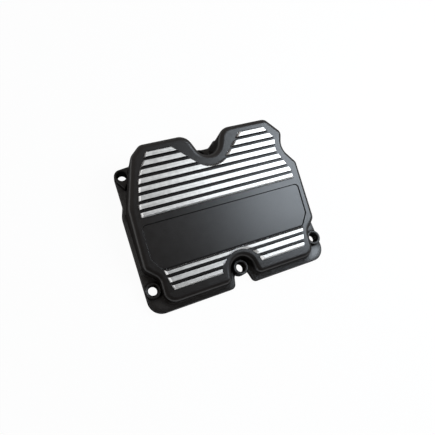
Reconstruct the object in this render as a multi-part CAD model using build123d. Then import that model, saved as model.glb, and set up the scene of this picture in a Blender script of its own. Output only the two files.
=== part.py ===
"""Engine valve cover: an open die-cast shell with a sloping ribbed crown and a bolted flange.

Millimetres, +Z up. The gasket face is z = 0 and the flange is centred on the origin, with the
front along -Y. The crown is a plane that rises towards +Y.
"""

import os
from math import radians, tan

from build123d import *

# Flange
FLANGE_WIDTH = 150.4
FLANGE_DEPTH = 125.0
FLANGE_THICKNESS = 5.0
FLANGE_EDGE_CHAMFER = 0.8
FLANGE_CORNER_RADIUS = 11.4
NOTCH_HALF_WIDTH = 8.4
NOTCH_DEPTH = 9.6
RECESS_HALF_WIDTH = 17.5

# Bolt lugs and their clearance holes, placed from the edges of the flange
HOLE_DIAMETER = 7.0
HOLE_CHAMFER = 1.1
LUG_RADIUS = 6.0
LUG_HEIGHT = 8.6
LUG_EDGE_CHAMFER = 0.5
SPOT_FACE_RADIUS = 5.5
FRONT_HOLE_SETBACK = 18.0
FRONT_CENTRE_SETBACK = 13.8
BACK_CENTRE_SETBACK = 13.2
BACK_LEFT_SETBACK = 15.0
BACK_LEFT_INSET = 8.8
BACK_RIGHT_SETBACK = 28.4

# Walls, from their foot on the gasket plane
SIDE_LEDGE = 2.2
FRONT_LEDGE = 3.9
BACK_LEDGE = 2.4
WALL_DRAFT = 4.5
WALL_THICKNESS = 4.0
FOOT_COVE = 1.2
CORE_CORNER_RADIUS = 5.0

# Plan of the walls: steps at the front lugs, the arch, the recess and the back corners
STEP_WIDTH = 9.1
STEP_LENGTH = 9.0
STEP_CLEARANCE = 5.4
STEP_RADIUS = 6.0
FRONT_CORNER_RADIUS = 9.9
SIDE_CORNER_RADIUS = 7.8
ARCH_HALF_WIDTH = 10.6
ARCH_REACH = 40.0
ARCH_RADIUS = 8.8
RECESS_MOUTH = 12.5
RECESS_MOUTH_RADIUS = 13.0
RECESS_REACH = 19.5
RECESS_RADIUS = 7.5
SCALLOP_DEPTH = 9.4
SCALLOP_LENGTH = 13.0
SCALLOP_RADIUS = 10.0
BACK_CORNER_RADIUS = 9.0
BACK_RIGHT_CORNER = 18.0
BACK_LEFT_CORNER = 21.5
LEFT_TAPER_WIDTH = 11.6
LEFT_TAPER_LENGTH = 37.4
LEFT_TAPER_RADIUS = 18.0

# Crown
CROWN_HEIGHT = 27.8
CROWN_TILT = 12.7
CROWN_THICKNESS = 3.6
SHOULDER_RADIUS = 4.0

# Ribs, along the slope of the crown
RIB_PITCH = 6.0
RIB_HEIGHT = 2.6
RIB_TOP_WIDTH = 3.4
RIB_FOOT_WIDTH = 3.8
RIB_END_BEVEL = 34.0
UPPER_RIBS = 8
UPPER_RIB_START = 6.4
LOWER_RIBS = 3
LOWER_RIB_SETBACK = 9.3
ARCH_SETBACK = 4.4
ARCH_CLEARANCE = 16.5

# Blank panel
PANEL_DEPTH = 0.8
PANEL_EDGE_WIDTH = 0.55
PANEL_GAP = 4.9
PANEL_SIDE_MARGIN = 7.3
PANEL_CORNER_WIDTH = 6.0
PANEL_CORNER_HEIGHT = 9.0

HALF_WIDTH = FLANGE_WIDTH / 2
FRONT = -FLANGE_DEPTH / 2
BACK = FLANGE_DEPTH / 2
SIDE = HALF_WIDTH - SIDE_LEDGE
WALL_FRONT = FRONT + FRONT_LEDGE
WALL_BACK = BACK - BACK_LEDGE

FRONT_HOLES = (HALF_WIDTH - LUG_RADIUS, FRONT + FRONT_HOLE_SETBACK)
FRONT_CENTRE_HOLE = (0.0, FRONT + FRONT_CENTRE_SETBACK)
BACK_CENTRE_HOLE = (0.0, BACK - BACK_CENTRE_SETBACK)
BACK_LEFT_HOLE = (BACK_LEFT_INSET - HALF_WIDTH, BACK - BACK_LEFT_SETBACK)
BACK_RIGHT_HOLE = (HALF_WIDTH - LUG_RADIUS, BACK - BACK_RIGHT_SETBACK)

LOWER_RIB_START = WALL_FRONT + LOWER_RIB_SETBACK
PANEL_TOP = UPPER_RIB_START - RIB_FOOT_WIDTH / 2 - PANEL_GAP
PANEL_BOTTOM = LOWER_RIB_START + (LOWER_RIBS - 1) * RIB_PITCH + RIB_FOOT_WIDTH / 2
PANEL_HALF_WIDTH = SIDE - PANEL_SIDE_MARGIN

CROWN_PLANE = Plane((0, 0, CROWN_HEIGHT)).rotated((CROWN_TILT, 0, 0))
MARGIN_PLANE = CROWN_PLANE.offset(-RIB_HEIGHT)


def rounded(corners: list[tuple[float, float, float]]) -> Sketch:
    """A closed outline from (x, y, corner radius) points, drawn on the XY plane."""
    points = [(x, y) for x, y, _ in corners]
    radii = [radius for _, _, radius in corners]
    return make_face(FilletPolyline(*points, radius=radii, close=True))


def drafted(outline: Sketch, height: float, angle: float) -> Part:
    """A block on the XY plane whose sides lean in as they rise."""
    block = extrude(outline, height)
    sides = block.faces().filter_by(Axis.Z, reverse=True)
    return draft(sides, Plane.XY, angle)


def flange_outline() -> Sketch:
    """The outside of the gasket flange, with its front notch and its back recess."""
    left_x, left_y = BACK_LEFT_HOLE
    notch_y = FRONT + NOTCH_DEPTH
    recess_y = BACK_CENTRE_HOLE[1] + 7.2
    return rounded(
        [
            (NOTCH_HALF_WIDTH, FRONT, 4.2),
            (HALF_WIDTH, FRONT, FLANGE_CORNER_RADIUS),
            (HALF_WIDTH, BACK_RIGHT_HOLE[1] + 6.9, 7.0),
            (HALF_WIDTH - 18.5, BACK, 8.0),
            (RECESS_HALF_WIDTH, BACK, 4.0),
            (RECESS_HALF_WIDTH - 7.0, recess_y, 3.0),
            (7.0 - RECESS_HALF_WIDTH, recess_y, 3.0),
            (-RECESS_HALF_WIDTH, BACK, 4.0),
            (left_x + 12.9, BACK, 8.0),
            (left_x + 6.2, left_y + 7.1, 3.0),
            (left_x - LUG_RADIUS, left_y + LUG_RADIUS, LUG_RADIUS),
            (left_x - LUG_RADIUS, left_y - 23.0, 12.0),
            (-HALF_WIDTH, left_y - 31.4, 12.0),
            (-HALF_WIDTH, FRONT, FLANGE_CORNER_RADIUS),
            (-NOTCH_HALF_WIDTH, FRONT, 4.2),
            (2.4 - NOTCH_HALF_WIDTH, notch_y, 2.4),
            (NOTCH_HALF_WIDTH - 2.4, notch_y, 2.4),
        ]
    )


def wall_outline() -> Sketch:
    """The foot of the walls on the gasket plane, stepped in round every lug."""
    step_y = FRONT_HOLES[1] + STEP_CLEARANCE
    scallop_y = BACK_RIGHT_HOLE[1] - 2.3
    taper_y = BACK_LEFT_HOLE[1] + 4.2
    arch_apex = FRONT_CENTRE_HOLE[1] + ARCH_REACH
    recess_apex = BACK_CENTRE_HOLE[1] - RECESS_REACH
    mouth_radius = SHOULDER_RADIUS + 2.0
    right = [
        (ARCH_HALF_WIDTH, WALL_FRONT, mouth_radius),
        (SIDE - STEP_WIDTH, WALL_FRONT, FRONT_CORNER_RADIUS),
        (SIDE - STEP_WIDTH, step_y, STEP_RADIUS),
        (SIDE, step_y + STEP_LENGTH, SIDE_CORNER_RADIUS),
        (SIDE, scallop_y - SCALLOP_LENGTH, SIDE_CORNER_RADIUS),
        (SIDE - SCALLOP_DEPTH, scallop_y, SCALLOP_RADIUS),
        (SIDE - SCALLOP_DEPTH / 2, scallop_y + SCALLOP_LENGTH, SIDE_CORNER_RADIUS),
        (SIDE - BACK_RIGHT_CORNER, WALL_BACK, BACK_CORNER_RADIUS),
        (RECESS_MOUTH, WALL_BACK, RECESS_MOUTH_RADIUS),
    ]
    left = [
        (-RECESS_MOUTH, WALL_BACK, RECESS_MOUTH_RADIUS),
        (-SIDE + BACK_LEFT_CORNER, WALL_BACK, BACK_CORNER_RADIUS),
        (-SIDE + LEFT_TAPER_WIDTH, taper_y, BACK_CORNER_RADIUS + 3.0),
        (-SIDE, taper_y - LEFT_TAPER_LENGTH, LEFT_TAPER_RADIUS),
        (-SIDE, step_y + STEP_LENGTH, SIDE_CORNER_RADIUS),
        (-SIDE + STEP_WIDTH, step_y, STEP_RADIUS),
        (-SIDE + STEP_WIDTH, WALL_FRONT, FRONT_CORNER_RADIUS),
        (-ARCH_HALF_WIDTH, WALL_FRONT, mouth_radius),
    ]
    arch = [(0, arch_apex, ARCH_RADIUS)]
    return rounded(right + [(0, recess_apex, RECESS_RADIUS)] + left + arch)


def core_outline() -> Sketch:
    """The foot of the hollow: the walls moved in by their thickness, with no sharp corners."""
    inner = offset(wall_outline(), -WALL_THICKNESS - CORE_CORNER_RADIUS)
    return offset(inner, CORE_CORNER_RADIUS, kind=Kind.ARC)


def under(plane: Plane) -> Part:
    """A large block whose top face lies on the plane."""
    size = 3 * FLANGE_WIDTH
    return plane * Box(size, size, size, align=(Align.CENTER, Align.CENTER, Align.MAX))


def walls() -> Part:
    """The solid body of the cover with its shoulder rounded."""
    block = drafted(wall_outline(), 1.6 * CROWN_HEIGHT, WALL_DRAFT) & under(MARGIN_PLANE)
    margin = block.faces().sort_by(MARGIN_PLANE.location.z_axis)[-1]
    return fillet(margin.edges(), SHOULDER_RADIUS)


def core() -> Part:
    """The hollow under the crown."""
    block = drafted(core_outline(), 1.6 * CROWN_HEIGHT, WALL_DRAFT)
    return block & under(MARGIN_PLANE.offset(-CROWN_THICKNESS))


def hole_centres() -> list[tuple[float, float]]:
    """The six bolt hole centres."""
    x, y = FRONT_HOLES
    return [(-x, y), FRONT_CENTRE_HOLE, (x, y), BACK_RIGHT_HOLE, BACK_CENTRE_HOLE, BACK_LEFT_HOLE]


def flange() -> Part:
    """The flange plate with its top edge broken."""
    plate = extrude(flange_outline(), FLANGE_THICKNESS)
    return chamfer(plate.faces().sort_by(Axis.Z)[-1].edges(), FLANGE_EDGE_CHAMFER)


def foot() -> Part:
    """The sloping cove where the walls meet the flange."""
    reach = FOOT_COVE - FLANGE_THICKNESS * tan(radians(WALL_DRAFT))
    skirt = drafted(offset(wall_outline(), reach), 1.4 * FOOT_COVE, 45)
    return Pos(0, 0, FLANGE_THICKNESS) * skirt


def lugs() -> Part:
    """The raised seats round the bolt holes, with the back left one drawn out into a tab."""
    seats = Sketch() + [Pos(x, y) * Circle(LUG_RADIUS) for x, y in hole_centres()]
    x, y = BACK_LEFT_HOLE
    tab = Polygon(
        (x - 5.4, y - 2.6),
        (x - 0.4, y - 11.0),
        (x + 6.4, y - 2.0),
        (x + 7.8, y + 6.9),
        (x, y + LUG_RADIUS),
        align=None,
    )
    raised = extrude(seats + tab, LUG_HEIGHT)
    return chamfer(raised.faces().filter_by(Axis.Z).sort_by(Axis.Z)[-6:].edges(), LUG_EDGE_CHAMFER)


def hole_cutters() -> Part:
    """Clearance holes with a countersunk mouth, each with room for a screw head above it."""
    radius = HOLE_DIAMETER / 2
    base = (Align.CENTER, Align.CENTER, Align.MIN)
    hole = Cylinder(radius, 4 * LUG_HEIGHT)
    mouth = Pos(0, 0, LUG_HEIGHT - HOLE_CHAMFER) * Cone(
        radius, radius + HOLE_CHAMFER, HOLE_CHAMFER, align=base
    )
    head = Pos(0, 0, LUG_HEIGHT) * Cylinder(SPOT_FACE_RADIUS, CROWN_HEIGHT, align=base)
    return Part() + [Pos(x, y) * (hole + mouth + head) for x, y in hole_centres()]


def upper_rib_field() -> Sketch:
    """The area the upper ribs fill, drawn on the crown."""
    near = PANEL_TOP + PANEL_GAP - 0.5
    far = WALL_BACK - 8.7
    apex = WALL_BACK - 36.6
    return rounded(
        [
            (-SIDE + 9.1, near, 0),
            (SIDE - 9.7, near, 0),
            (SIDE - 9.7, near + 7.8, 9.0),
            (SIDE - 18.4, far - 21.0, 9.0),
            (SIDE - 15.7, far - 12.0, 7.2),
            (SIDE - 23.8, far, 0),
            (far - apex, far, 0),
            (0, apex, 16.8),
            (apex - far, far, 0),
            (-SIDE + 25.3, far, 0),
            (-SIDE + 14.8, far - 16.8, 48.0),
            (-SIDE + 9.1, near + 7.8, 24.0),
        ]
    )


def lower_rib_field() -> Sketch:
    """The area the lower ribs fill, drawn on the crown."""
    near = WALL_FRONT + 7.1
    far = PANEL_BOTTOM + 0.4
    return rounded(
        [
            (-SIDE + 13.9, far, 0),
            (-SIDE + 17.5, near, 2.4),
            (SIDE - 17.5, near, 2.4),
            (SIDE - 13.9, far, 0),
        ]
    )


def arch_relief() -> Part:
    """A flared cutter that ends the lower ribs round the front arch, with their end bevel."""
    flare = RIB_HEIGHT * tan(radians(RIB_END_BEVEL))
    cone = Cone(ARCH_CLEARANCE, ARCH_CLEARANCE + flare, RIB_HEIGHT)
    return Pos(0, WALL_FRONT + ARCH_SETBACK, RIB_HEIGHT / 2) * cone


def rib_bars(start: float, count: int) -> Part:
    """Full-width bars with sloping flanks, spaced by the rib pitch."""
    section = Plane.YZ * Polygon(
        (-RIB_FOOT_WIDTH / 2, 0),
        (RIB_FOOT_WIDTH / 2, 0),
        (RIB_TOP_WIDTH / 2, RIB_HEIGHT),
        (-RIB_TOP_WIDTH / 2, RIB_HEIGHT),
        align=None,
    )
    bar = extrude(section, HALF_WIDTH, both=True)
    return Part() + [Pos(0, start + index * RIB_PITCH, 0) * bar for index in range(count)]


def ribs() -> list[Part]:
    """The two rib groups with bevelled ends, standing on the margin of the crown."""
    groups = [
        (upper_rib_field(), UPPER_RIB_START, UPPER_RIBS),
        (lower_rib_field(), LOWER_RIB_START, LOWER_RIBS),
    ]
    placed = []
    for field, start, count in groups:
        bevelled = drafted(field, RIB_HEIGHT, RIB_END_BEVEL)
        group = (bevelled & rib_bars(start, count)) - arch_relief()
        placed.append(MARGIN_PLANE * group)
    return placed


def panel() -> Part:
    """The shallow pocket for the blank panel, with sloping edges."""
    bottom = PANEL_BOTTOM + PANEL_DEPTH
    top = PANEL_TOP - PANEL_DEPTH
    side = PANEL_HALF_WIDTH - PANEL_DEPTH
    floor = rounded(
        [
            (-side, top, 3.0),
            (-side, bottom + PANEL_CORNER_HEIGHT, 2.0),
            (-side + PANEL_CORNER_WIDTH, bottom, 2.0),
            (side - PANEL_CORNER_WIDTH, bottom, 2.0),
            (side, bottom + PANEL_CORNER_HEIGHT, 2.0),
            (side, top, 3.0),
        ]
    )
    mouth = offset(floor, 2 * PANEL_EDGE_WIDTH)
    pocket = loft([Pos(0, 0, -PANEL_DEPTH) * floor, Pos(0, 0, PANEL_DEPTH) * mouth], ruled=True)
    return MARGIN_PLANE * pocket


def valve_cover() -> Part:
    """The whole casting: walls, flange and lugs hollowed from below, then drilled and ribbed."""
    cover = walls() + flange() + foot() + lugs()
    cover -= core()
    cover -= hole_cutters()
    cover -= panel()
    for group in ribs():
        cover += group
    return cover


if __name__ == "__main__":
    os.makedirs("parts", exist_ok=True)
    export_step(valve_cover(), "parts/valve_cover.step")
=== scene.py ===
"""Dresses the cast engine valve cover: black coated casting, brushed rib tops, stage and light."""

from __future__ import annotations

import logging
import math
from dataclasses import dataclass, replace
from enum import Enum
from typing import Any

import bmesh
import bpy
from mathutils import Matrix, Vector


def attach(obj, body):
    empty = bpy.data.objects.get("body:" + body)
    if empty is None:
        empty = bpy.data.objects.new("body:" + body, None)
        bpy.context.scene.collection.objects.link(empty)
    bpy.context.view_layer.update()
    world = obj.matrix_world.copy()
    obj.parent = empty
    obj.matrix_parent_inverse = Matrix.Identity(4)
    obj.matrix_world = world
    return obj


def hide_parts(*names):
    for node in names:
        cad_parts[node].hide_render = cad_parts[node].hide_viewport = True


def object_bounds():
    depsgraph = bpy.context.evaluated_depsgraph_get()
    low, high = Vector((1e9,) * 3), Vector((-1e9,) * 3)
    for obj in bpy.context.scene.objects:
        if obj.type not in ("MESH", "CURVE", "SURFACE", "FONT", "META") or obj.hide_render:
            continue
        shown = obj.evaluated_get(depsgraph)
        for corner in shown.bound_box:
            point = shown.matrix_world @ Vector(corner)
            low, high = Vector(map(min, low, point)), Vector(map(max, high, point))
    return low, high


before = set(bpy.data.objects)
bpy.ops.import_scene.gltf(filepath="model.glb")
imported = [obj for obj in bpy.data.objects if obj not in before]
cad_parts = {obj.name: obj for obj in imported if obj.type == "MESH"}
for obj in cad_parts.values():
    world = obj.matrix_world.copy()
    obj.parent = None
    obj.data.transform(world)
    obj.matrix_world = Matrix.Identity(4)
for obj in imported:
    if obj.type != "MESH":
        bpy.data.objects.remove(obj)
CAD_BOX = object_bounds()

log = logging.getLogger("valve_cover")

MM = 0.001
BODY = "root"
CASTING_NODE = "valve_cover"
WHITE = (1.0, 1.0, 1.0, 1.0)


class Pattern(Enum):
    """How a procedural grain is drawn out, as its scale along X, Y and Z."""

    EVEN = (1.0, 1.0, 1.0)
    ALONG_RIB = (0.02, 1.0, 1.0)
    MILLED = (1.0, 0.02, 1.0)


class Socket:
    """A node output that builds nodes when it is used in an expression."""

    def __init__(self, kit: NodeKit, output: bpy.types.NodeSocket) -> None:
        """Args:
            kit: The node maker of the tree.
            output: The socket this object stands for.
        """
        self.kit = kit
        self.output = output

    def _math(self, operation: str, first: Any, second: Any) -> Socket:
        """Returns a Math node of the two values."""
        return self.kit.node("ShaderNodeMath", {"operation": operation}, {0: first, 1: second})

    def _compare(self, operation: str, other: Any) -> Socket:
        """Returns a Compare node of this value and another."""
        return self.kit.node("FunctionNodeCompare", {"operation": operation}, {0: self, 1: other})

    def __add__(self, other: Any) -> Socket:
        """Returns the sum."""
        return self._math("ADD", self, other)

    def __radd__(self, other: Any) -> Socket:
        """Returns the sum, with this value on the right."""
        return self._math("ADD", other, self)

    def __sub__(self, other: Any) -> Socket:
        """Returns the difference."""
        return self._math("SUBTRACT", self, other)

    def __rsub__(self, other: Any) -> Socket:
        """Returns the difference, with this value on the right."""
        return self._math("SUBTRACT", other, self)

    def __mul__(self, other: Any) -> Socket:
        """Returns the product."""
        return self._math("MULTIPLY", self, other)

    def __rmul__(self, other: Any) -> Socket:
        """Returns the product, with this value on the right."""
        return self._math("MULTIPLY", other, self)

    def __abs__(self) -> Socket:
        """Returns the value without its sign."""
        return self.kit.node("ShaderNodeMath", {"operation": "ABSOLUTE"}, {0: self})

    def __gt__(self, other: Any) -> Socket:
        """Returns whether this value is over the other."""
        return self._compare("GREATER_THAN", other)

    def __lt__(self, other: Any) -> Socket:
        """Returns whether this value is under the other."""
        return self._compare("LESS_THAN", other)

    def __and__(self, other: Any) -> Socket:
        """Returns whether both conditions hold."""
        return self.kit.node("FunctionNodeBooleanMath", {"operation": "AND"}, {0: self, 1: other})

    def inside(self, span: tuple[Any, Any]) -> Socket:
        """Returns whether this value lies within the span."""
        return (self > span[0]) & (self < span[1])

    def larger(self, other: Any) -> Socket:
        """Returns the larger of this value and another."""
        return self._math("MAXIMUM", self, other)

    def spread(
        self,
        source: tuple[float, float],
        target: tuple[float, float] = (0.0, 1.0),
        curve: str = "LINEAR",
    ) -> Socket:
        """Stretches a range of this value over another range and stops at its ends.

        Args:
            source: The range taken from this value.
            target: The range it becomes.
            curve: How the value runs between the ends.

        Returns:
            The stretched value.
        """
        low, high = source
        start, end = target
        return self.kit.node(
            "ShaderNodeMapRange",
            {"interpolation_type": curve},
            {"Value": self, "From Min": low, "From Max": high, "To Min": start, "To Max": end},
        )


class NodeKit:
    """Makes and links the nodes of one tree."""

    def __init__(self, tree: bpy.types.NodeTree) -> None:
        """Empties the tree.

        Args:
            tree: The shader or geometry tree to fill.
        """
        self.tree = tree
        tree.nodes.clear()

    def make(self, kind: str, settings: dict[str, Any], inputs: dict[Any, Any]) -> bpy.types.Node:
        """Makes one node.

        Args:
            kind: The node's type name.
            settings: The node's own settings, set before its inputs.
            inputs: Values or sockets for its inputs, by name or number.

        Returns:
            The new node.
        """
        node = self.tree.nodes.new(kind)
        for name, value in settings.items():
            setattr(node, name, value)
        for key, value in inputs.items():
            target = node.inputs[key]
            if isinstance(value, Socket):
                self.tree.links.new(value.output, target)
            else:
                target.default_value = value
        return node

    def node(
        self, kind: str, settings: dict[str, Any], inputs: dict[Any, Any], output: Any = 0
    ) -> Socket:
        """Makes one node and returns one of its outputs.

        Args:
            kind: The node's type name.
            settings: The node's own settings.
            inputs: Values or sockets for its inputs.
            output: The name or number of the output wanted.

        Returns:
            That output, ready for expressions.
        """
        return Socket(self, self.make(kind, settings, inputs).outputs[output])

    def axes(self, vector: Socket) -> list[Socket]:
        """Splits a vector.

        Args:
            vector: The vector to split.

        Returns:
            Its X, Y and Z.
        """
        split = self.make("ShaderNodeSeparateXYZ", {}, {"Vector": vector})
        return [Socket(self, output) for output in split.outputs]

    def along(self, vector: Socket, direction: Vector) -> Socket:
        """Measures how far a vector reaches along a direction.

        Args:
            vector: The vector to measure.
            direction: A direction of length one.

        Returns:
            The length along it.
        """
        return self.node(
            "ShaderNodeVectorMath",
            {"operation": "DOT_PRODUCT"},
            {0: vector, 1: tuple(direction)},
            "Value",
        )

    def mixed(self, factor: Socket, first: Any, second: Any) -> Socket:
        """Mixes two colours.

        Args:
            factor: The share of the second colour.
            first: The first colour.
            second: The second colour.

        Returns:
            The mixed colour.
        """
        first_colour, second_colour, result = 6, 7, 2
        return self.node(
            "ShaderNodeMix",
            {"data_type": "RGBA"},
            {"Factor": factor, first_colour: first, second_colour: second},
            result,
        )


@dataclass(frozen=True)
class Crown:
    """The sloping crown that carries the ribs."""

    tilt: float = math.radians(12.7)
    height: float = 27.8 * MM

    @property
    def normal(self) -> Vector:
        """The crown's outward direction."""
        return Vector((0.0, -math.sin(self.tilt), math.cos(self.tilt)))

    @property
    def level(self) -> float:
        """How far the plane of the rib tops lies from the origin."""
        return self.normal.z * self.height


CROWN = Crown()


@dataclass(frozen=True)
class Finish:
    """One surface finish with a procedural grain."""

    name: str
    dark: tuple[float, float, float]
    light: tuple[float, float, float]
    metallic: float
    roughness: tuple[float, float]
    grain: float
    grain_height: float
    edge_radius: float
    pattern: Pattern = Pattern.EVEN
    specular: float = 0.5
    grain_strength: float = 0.5
    crevice_reach: float = 0.0
    edge_samples: int = 4
    broad_scale: float = 0.15
    fine_share: float = 0.65
    fine_layers: tuple[float, float] = (3.0, 0.6)
    broad_layers: tuple[float, float] = (2.0, 0.5)
    grain_span: tuple[float, float] = (0.36, 0.64)
    # The fields from here on set the painted shade, which crevice_reach above switches on: a
    # rough, weakly mirroring copy of the shader darkens crevices and faces seen edge-on.
    shallow_span: tuple[float, float] = (0.32, 0.72)
    crevice_span: tuple[float, float] = (0.85, 0.5)
    crevice_samples: int = 8
    shade_roughness: float = 0.9
    shade_specular: float = 0.1

    def build(self) -> bpy.types.Material:
        """Makes the material.

        Returns:
            The new material.
        """
        material = bpy.data.materials.new(self.name)
        material.use_nodes = True
        kit = NodeKit(material.node_tree)
        fine = self._noise(self._place(kit), 1.0 / self.grain, self.fine_layers)
        broad = self._noise(self._object(kit), self.broad_scale / self.grain, self.broad_layers)
        grain = (fine * self.fine_share + broad * (1.0 - self.fine_share)).spread(self.grain_span)
        colour = kit.mixed(grain, (*self.dark, 1.0), (*self.light, 1.0))
        low, high = self.roughness
        bump = self._bump(kit, fine)
        shader = self._coat(kit, colour, bump, grain * (high - low) + low, self.specular)
        # Painted shade: a rough, weakly mirroring copy of the shader is mixed in, so crevices and
        # faces seen edge-on render darker.
        if self.crevice_reach:
            shade_coat = self._coat(kit, colour, bump, self.shade_roughness, self.shade_specular)
            factor = self._painted_shade(kit)
            shader = kit.node("ShaderNodeMixShader", {}, {"Fac": factor, 1: shader, 2: shade_coat})
        kit.make("ShaderNodeOutputMaterial", {}, {"Surface": shader})
        return material

    @staticmethod
    def _noise(place: Socket, scale: float, layers: tuple[float, float]) -> Socket:
        """Makes a noise.

        Args:
            place: The coordinates that it follows.
            scale: How many patches it has in a metre.
            layers: How many finer layers it has, and how strong they are.

        Returns:
            The noise.
        """
        detail, roughness = layers
        return place.kit.node(
            "ShaderNodeTexNoise",
            {},
            {"Vector": place, "Scale": scale, "Detail": detail, "Roughness": roughness},
        )

    def _bump(self, kit: NodeKit, height: Socket) -> Socket:
        """Makes the normal, eased over the edges and roughened by the grain.

        Args:
            kit: The node maker of the tree.
            height: The height of the grain.

        Returns:
            The normal.
        """
        settings = {"samples": self.edge_samples}
        eased = kit.node("ShaderNodeBevel", settings, {"Radius": self.edge_radius})
        return kit.node(
            "ShaderNodeBump",
            {},
            {
                "Strength": self.grain_strength,
                "Distance": self.grain_height,
                "Height": height,
                "Normal": eased,
            },
        )

    def _coat(
        self, kit: NodeKit, colour: Socket, normal: Socket, roughness: Any, specular: float
    ) -> Socket:
        """Makes the shader of the bare metal or the coating.

        Args:
            kit: The node maker of the tree.
            colour: The base colour.
            normal: The surface normal with its grain.
            roughness: The roughness.
            specular: How strongly a coating mirrors.

        Returns:
            The shader.
        """
        return kit.node(
            "ShaderNodeBsdfPrincipled",
            {},
            {
                "Base Color": colour,
                "Metallic": self.metallic,
                "Roughness": roughness,
                "Specular IOR Level": specular,
                "Normal": normal,
            },
        )

    def _painted_shade(self, kit: NodeKit) -> Socket:
        """Finds the crevices and where the surface is seen at a shallow angle, where painted shade
        darkens the surface.

        Args:
            kit: The node maker of the tree.

        Returns:
            The share of the darker copy of the shader, that is the painted shade.
        """
        turned = kit.node("ShaderNodeLayerWeight", {}, {}, "Facing")
        open_air = kit.node(
            "ShaderNodeAmbientOcclusion",
            {"samples": self.crevice_samples, "only_local": True},
            {"Distance": self.crevice_reach},
            "AO",
        )
        return turned.spread(self.shallow_span).larger(open_air.spread(self.crevice_span))

    def _place(self, kit: NodeKit) -> Socket:
        """Draws the coordinates out along the grain.

        Args:
            kit: The node maker of the tree.

        Returns:
            The coordinates that the grain follows.
        """
        place = self._object(kit)
        if self.pattern is Pattern.EVEN:
            return place
        turn = CROWN.tilt if self.pattern is Pattern.ALONG_RIB else 0.0
        inputs = {"Vector": place, "Rotation": (-turn, 0.0, 0.0), "Scale": self.pattern.value}
        return kit.node("ShaderNodeMapping", {}, inputs)

    @staticmethod
    def _object(kit: NodeKit) -> Socket:
        """Returns the place on the object."""
        return kit.node("ShaderNodeTexCoord", {}, {}, "Object")


COATING = Finish(
    name="satin_black_coating",
    dark=(0.0075, 0.0061, 0.0056),
    light=(0.0120, 0.0100, 0.0092),
    metallic=0.0,
    roughness=(0.28, 0.34),
    grain=0.8 * MM,
    grain_height=0.06 * MM,
    grain_strength=1.0,
    edge_radius=0.12 * MM,
    crevice_reach=2.2 * MM,
)
WALL_COATING = replace(COATING, name="satin_black_walls", edge_radius=1.8 * MM)
LEDGE_COATING = replace(COATING, name="satin_black_ledges", edge_radius=6.5 * MM)
# Painted shade: the panel pocket's edge walls get a darker, matt, weakly mirroring copy of the
# coating, so they render as a dark line; walls turned towards +X take the glossy PANEL_GLINT
# instead.
PANEL_EDGE_SHADE = replace(
    COATING,
    name="panel_edge_painted_shade",
    dark=(0.0040, 0.0038, 0.0038),
    light=(0.0060, 0.0058, 0.0058),
    roughness=(0.75, 0.85),
    specular=0.15,
    edge_radius=0.02 * MM,
    crevice_reach=0.0,
)
PANEL_GLINT = replace(
    COATING,
    name="satin_black_panel_edge",
    roughness=(0.24, 0.30),
    edge_radius=0.6 * MM,
    crevice_reach=0.0,
)
BRUSHED = Finish(
    name="brushed_rib_metal",
    dark=(0.50, 0.48, 0.455),
    light=(0.76, 0.735, 0.70),
    metallic=1.0,
    roughness=(0.45, 0.54),
    grain=0.45 * MM,
    grain_height=0.01 * MM,
    edge_radius=0.10 * MM,
    pattern=Pattern.ALONG_RIB,
)
# Painted light: bevels facing the front get a lighter copy of the metal, rougher and with widely
# eased edges, so they render bright where the lamps leave them dark.
FRONT_CUT_LIT = replace(
    BRUSHED,
    name="front_cut_painted_light",
    dark=(0.93, 0.92, 0.90),
    light=(0.98, 0.98, 0.98),
    roughness=(0.50, 0.60),
    edge_radius=2.0 * MM,
)
BRIGHT_CUT = Finish(
    name="bright_cut_metal",
    dark=(0.86, 0.86, 0.86),
    light=(0.97, 0.97, 0.97),
    metallic=1.0,
    roughness=(0.20, 0.28),
    grain=0.4 * MM,
    grain_height=0.006 * MM,
    edge_radius=0.05 * MM,
)
MILLED = Finish(
    name="milled_gasket_face",
    dark=(0.42, 0.42, 0.42),
    light=(0.60, 0.60, 0.59),
    metallic=1.0,
    roughness=(0.30, 0.42),
    grain=0.5 * MM,
    grain_height=0.01 * MM,
    edge_radius=0.15 * MM,
    pattern=Pattern.MILLED,
)


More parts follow.
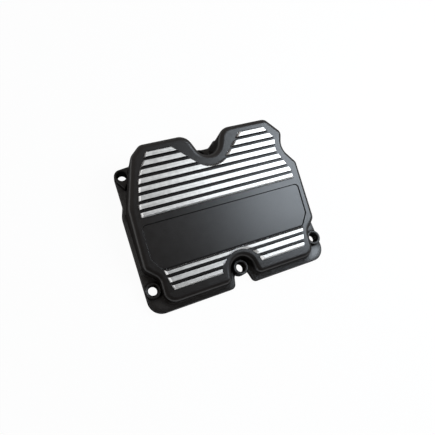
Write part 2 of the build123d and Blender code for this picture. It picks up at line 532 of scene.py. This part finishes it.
@dataclass
class RibbedCasting:
    """The one-piece casting with its coated body and bare rib tops."""

    merge_distance: float = 0.002 * MM
    smooth_angle: float = math.radians(50.0)
    normal_weight: int = 60
    flat_depth: float = 0.12 * MM
    bevel_reach: float = 2.3 * MM
    wall_start: float = 7.0 * MM
    ledge_band: tuple[float, float] = (4.6 * MM, 7.4 * MM)
    panel_band: tuple[float, float] = (2.65 * MM, 3.45 * MM)
    flat_slope: float = 0.97
    bevel_slopes: tuple[float, float] = (0.4, 0.75)
    panel_slopes: tuple[float, float] = (0.45, 0.7)
    glint_turn: float = 0.3
    front_turn: float = 0.6
    coating: Finish = COATING
    wall_coating: Finish = WALL_COATING
    ledge_coating: Finish = LEDGE_COATING
    panel_edge: Finish = PANEL_EDGE_SHADE
    panel_glint: Finish = PANEL_GLINT
    rib_tops: Finish = BRUSHED
    bevels: Finish = BRIGHT_CUT
    front_bevels_lit: Finish = FRONT_CUT_LIT
    gasket_face: Finish = MILLED

    def build(self, source: bpy.types.Object) -> bpy.types.Object:
        """Makes the dressed casting from the CAD node.

        Args:
            source: The CAD node's object.

        Returns:
            The finished piece.
        """
        mesh = source.data.copy()
        mesh.name = "casting"
        self._merge(mesh)
        piece = bpy.data.objects.new("casting", mesh)
        bpy.context.scene.collection.objects.link(piece)
        self._dress(piece)
        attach(piece, BODY)
        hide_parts(CASTING_NODE)
        log.info("%s: %d faces", piece.name, len(piece.data.polygons))
        return piece

    def _merge(self, mesh: bpy.types.Mesh) -> None:
        """Joins the loose triangles and clears the old materials.

        Args:
            mesh: The mesh to change.
        """
        work = bmesh.new()
        work.from_mesh(mesh)
        bmesh.ops.remove_doubles(work, verts=work.verts, dist=self.merge_distance)
        bmesh.ops.dissolve_degenerate(work, edges=work.edges, dist=self.merge_distance)
        work.to_mesh(mesh)
        work.free()
        mesh.materials.clear()

    def _dress(self, piece: bpy.types.Object) -> None:
        """Shades the piece and gives each face its finish with a geometry tree.

        Args:
            piece: The object to finish in place.
        """
        tree = self._tree()
        modifier = piece.modifiers.new(tree.name, "NODES")
        modifier.node_group = tree
        sizes = self._sizes()
        for item in tree.interface.items_tree:
            if item.name in sizes:
                modifier[item.identifier] = sizes[item.name]
        weighted = piece.modifiers.new("even_normals", "WEIGHTED_NORMAL")
        weighted.keep_sharp = True
        weighted.weight = self.normal_weight
        graph = bpy.context.evaluated_depsgraph_get()
        finished = bpy.data.meshes.new_from_object(piece.evaluated_get(graph))
        piece.modifiers.clear()
        piece.data = finished

    def _sizes(self) -> dict[str, float]:
        """Names the geometry tree's inputs.

        Returns:
            Their names with their values.
        """
        return {
            "Smooth Angle": self.smooth_angle,
            "Flat Depth": self.flat_depth,
            "Bevel Reach": self.bevel_reach,
            "Wall Start": self.wall_start,
            "Ledge Band Start": self.ledge_band[0],
            "Ledge Band End": self.ledge_band[1],
            "Panel Band Start": self.panel_band[0],
            "Panel Band End": self.panel_band[1],
        }

    def _tree(self) -> bpy.types.NodeTree:
        """Makes the geometry tree that smooths the casting and gives its faces their finishes.

        Returns:
            The tree, with named inputs for its sizes.
        """
        tree = bpy.data.node_groups.new("casting_finishes", "GeometryNodeTree")
        face = tree.interface
        face.new_socket("Geometry", in_out="INPUT", socket_type="NodeSocketGeometry")
        for name in self._sizes():
            face.new_socket(name, in_out="INPUT", socket_type="NodeSocketFloat")
        face.new_socket("Geometry", in_out="OUTPUT", socket_type="NodeSocketGeometry")
        kit = NodeKit(tree)
        given = kit.make("NodeGroupInput", {}, {}).outputs
        sizes = {name: Socket(kit, given[name]) for name in self._sizes()}
        angle = kit.node("GeometryNodeInputMeshEdgeAngle", {}, {}, "Unsigned Angle")
        smooth = kit.node(
            "GeometryNodeSetShadeSmooth",
            {"domain": "EDGE"},
            {
                "Geometry": Socket(kit, given["Geometry"]),
                "Shade Smooth": angle < sizes["Smooth Angle"],
            },
        )
        shape = kit.node("GeometryNodeRealizeInstances", {}, {"Geometry": smooth})
        for finish, faces in self._areas(kit, sizes):
            shape = kit.node(
                "GeometryNodeSetMaterial",
                {},
                {"Geometry": shape, "Selection": faces, "Material": finish.build()},
            )
        kit.make("NodeGroupOutput", {}, {"Geometry": shape})
        return tree

    def _areas(self, kit: NodeKit, sizes: dict[str, Socket]) -> list[tuple[Finish, Any]]:
        """Tells the faces apart by height, slope and direction.

        Args:
            kit: The node maker of the tree.
            sizes: The tree's inputs.

        Returns:
            Each finish with the faces that take it, a later one over an earlier one.
        """
        place = kit.node("GeometryNodeInputPosition", {}, {})
        facing = kit.node("GeometryNodeInputNormal", {}, {})
        level = kit.along(place, Vector((0.0, 0.0, 1.0)))
        depth = CROWN.level - kit.along(place, CROWN.normal)
        slope = kit.along(facing, CROWN.normal)
        rightwards = kit.along(facing, Vector((1.0, 0.0, 0.0)))
        frontwards = kit.along(facing, Vector((0.0, -1.0, 0.0)))
        downwards = kit.along(facing, Vector((0.0, 0.0, -1.0)))
        ledges = level.inside((sizes["Ledge Band Start"], sizes["Ledge Band End"]))
        panel_band = depth.inside((sizes["Panel Band Start"], sizes["Panel Band End"]))
        panel_edges = panel_band & slope.inside(self.panel_slopes)
        tops = (depth < sizes["Flat Depth"]) & (slope > self.flat_slope)
        bevels = (depth < sizes["Bevel Reach"]) & slope.inside(self.bevel_slopes)
        gasket = (level < sizes["Flat Depth"]) & (downwards > self.flat_slope)
        return [
            (self.coating, True),
            (self.wall_coating, depth > sizes["Wall Start"]),
            (self.ledge_coating, ledges),
            # Painted shade on the pocket's edge walls, with the glossy copy on those turned
            # towards +X.
            (self.panel_edge, panel_edges),
            (self.panel_glint, panel_edges & (rightwards > self.glint_turn)),
            (self.rib_tops, tops),
            (self.bevels, bevels),
            # Painted light on the bevels facing the front.
            (self.front_bevels_lit, bevels & (frontwards > self.front_turn)),
            (self.gasket_face, gasket),
        ]


@dataclass(frozen=True)
class Softbox:
    """A soft area light that points at the cover."""

    name: str
    towards: tuple[float, float, float]
    size: tuple[float, float]
    power: float
    colour: tuple[float, float, float] = (1.0, 1.0, 1.0)
    distance: float = 0.60

    def build(self) -> None:
        """Hangs the light."""
        lamp = bpy.data.lights.new(self.name, "AREA")
        lamp.shape = "RECTANGLE"
        lamp.size, lamp.size_y = self.size
        lamp.energy = self.power
        lamp.color = self.colour
        holder = bpy.data.objects.new(self.name, lamp)
        bpy.context.scene.collection.objects.link(holder)
        direction = Vector(self.towards).normalized()
        holder.location = direction * self.distance
        holder.rotation_euler = direction.to_track_quat("Z", "Y").to_euler()


KEY = Softbox(
    name="key",
    towards=(0.65, -0.06, 0.755),
    size=(0.36, 0.36),
    power=3.3,
    colour=(0.90, 1.0, 1.10),
)
STRIP = Softbox(name="strip", towards=(-0.975, 0.22, 0.045), size=(0.90, 0.045), power=0.25)


@dataclass
class Stage:
    """The pale floor, the soft light and the view."""

    floor_size: float = 6.0
    floor_drop: float = 0.05 * MM
    floor_colour: tuple[float, float, float, float] = (0.9, 0.9, 0.9, 1.0)
    floor_white: float = 0.96
    # How far from the cover the painted shadow in the floor's reflections fades to white.
    painted_shadow_band: tuple[float, float] = (5.0 * MM, 30.0 * MM)
    world_levels: tuple[float, float] = (0.10, 0.38)
    world_rise: tuple[float, float] = (-0.45, 0.15)
    world_colour: tuple[float, float, float, float] = (1.0, 0.94, 0.90, 1.0)
    lights: tuple[Softbox, ...] = (KEY, STRIP)
    camera_place: tuple[float, float, float] = (-93.1 * MM, -70.4 * MM, 283.3 * MM)
    camera_forward: tuple[float, float, float] = (0.3026, 0.2263, -0.9258)
    camera_up: tuple[float, float, float] = (0.2606, 0.9148, 0.3088)
    lens: float = 30.62
    sensor_width: float = 36.0
    shift_y: float = -0.0065
    near_limit: float = 10.0 * MM

    def build(self) -> None:
        """Makes the whole stage."""
        self._floor()
        self._world()
        for light in self.lights:
            light.build()
        self._camera()
        log.info("stage: floor, world, %d lights and camera", len(self.lights))

    def _floor(self) -> None:
        """Lays a pale floor that keeps the cover's shadow."""
        half = self.floor_size / 2
        mesh = bpy.data.meshes.new("floor")
        corners = [(-half, -half), (half, -half), (half, half), (-half, half)]
        mesh.from_pydata([(x, y, -self.floor_drop) for x, y in corners], [], [(0, 1, 2, 3)])
        mesh.materials.append(self._floor_material())
        floor = bpy.data.objects.new("floor", mesh)
        bpy.context.scene.collection.objects.link(floor)

    def _floor_material(self) -> bpy.types.Material:
        """Makes the floor's finish, white to the camera and in what the cover mirrors, with a
        painted shadow in those reflections beside the cover.

        Returns:
            The material.
        """
        material = bpy.data.materials.new("pale_floor")
        material.use_nodes = True
        kit = NodeKit(material.node_tree)
        rays = kit.make("ShaderNodeLightPath", {}, {}).outputs
        seen = Socket(kit, rays["Is Camera Ray"]) * self.floor_white
        # Painted shadow: the glow that the cover mirrors fades out beside it.
        mirrored = Socket(kit, rays["Is Glossy Ray"]) * self._glow_outside_painted_shadow(kit)
        matt = kit.node("ShaderNodeBsdfDiffuse", {}, {"Color": self.floor_colour})
        glow = kit.node("ShaderNodeEmission", {}, {"Color": WHITE, "Strength": 1.0})
        mixed = kit.node("ShaderNodeMixShader", {}, {"Fac": seen + mirrored, 1: matt, 2: glow})
        kit.make("ShaderNodeOutputMaterial", {}, {"Surface": mixed})
        return material

    def _glow_outside_painted_shadow(self, kit: NodeKit) -> Socket:
        """Makes a mask that is 0 on the floor beside the cover and 1 further out, so the glow that
        the cover mirrors fades out around it: a painted shadow, under which the floor's own lit
        and shadowed shading shows.

        Args:
            kit: The node maker of the floor's material.

        Returns:
            The mask.
        """
        across, along, _ = kit.axes(kit.node("ShaderNodeTexCoord", {}, {}, "Object"))
        half_width, half_depth, _ = CAD_BOX[1]
        away = (abs(across) - half_width).larger(abs(along) - half_depth)
        return away.spread(self.painted_shadow_band)

    def _world(self) -> None:
        """Sets a soft grey surround, brighter at the back, that the camera sees as white."""
        world = bpy.data.worlds.new("surround")
        bpy.context.scene.world = world
        world.use_nodes = True
        kit = NodeKit(world.node_tree)
        rays = kit.make("ShaderNodeLightPath", {}, {}).outputs
        camera = Socket(kit, rays["Is Camera Ray"])
        _, backwards, _ = kit.axes(kit.node("ShaderNodeTexCoord", {}, {}, "Generated"))
        rise = backwards.spread(self.world_rise, self.world_levels, "SMOOTHSTEP")
        level = camera * (1.0 - rise) + rise
        colour = kit.mixed(camera, self.world_colour, WHITE)
        glow = kit.node("ShaderNodeBackground", {}, {"Color": colour, "Strength": level})
        kit.make("ShaderNodeOutputWorld", {}, {"Surface": glow})

    def _camera(self) -> None:
        """Places the camera."""
        camera = bpy.data.cameras.new("view")
        camera.lens = self.lens
        camera.sensor_width = self.sensor_width
        camera.shift_y = self.shift_y
        camera.clip_start = self.near_limit
        holder = bpy.data.objects.new("view", camera)
        bpy.context.scene.collection.objects.link(holder)
        forward = Vector(self.camera_forward).normalized()
        up = Vector(self.camera_up)
        up = (up - forward * up.dot(forward)).normalized()
        right = forward.cross(up)
        turn = Matrix((right, up, -forward)).transposed().to_4x4()
        holder.matrix_world = Matrix.Translation(Vector(self.camera_place)) @ turn
        bpy.context.scene.camera = holder


def main() -> None:
    """Builds the dressed cover and its stage."""
    logging.basicConfig(level=logging.INFO, format="%(name)s: %(message)s")
    bpy.context.scene.view_settings.view_transform = "Standard"
    RibbedCasting().build(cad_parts[CASTING_NODE])
    Stage().build()


if __name__ == "__main__":
    main()
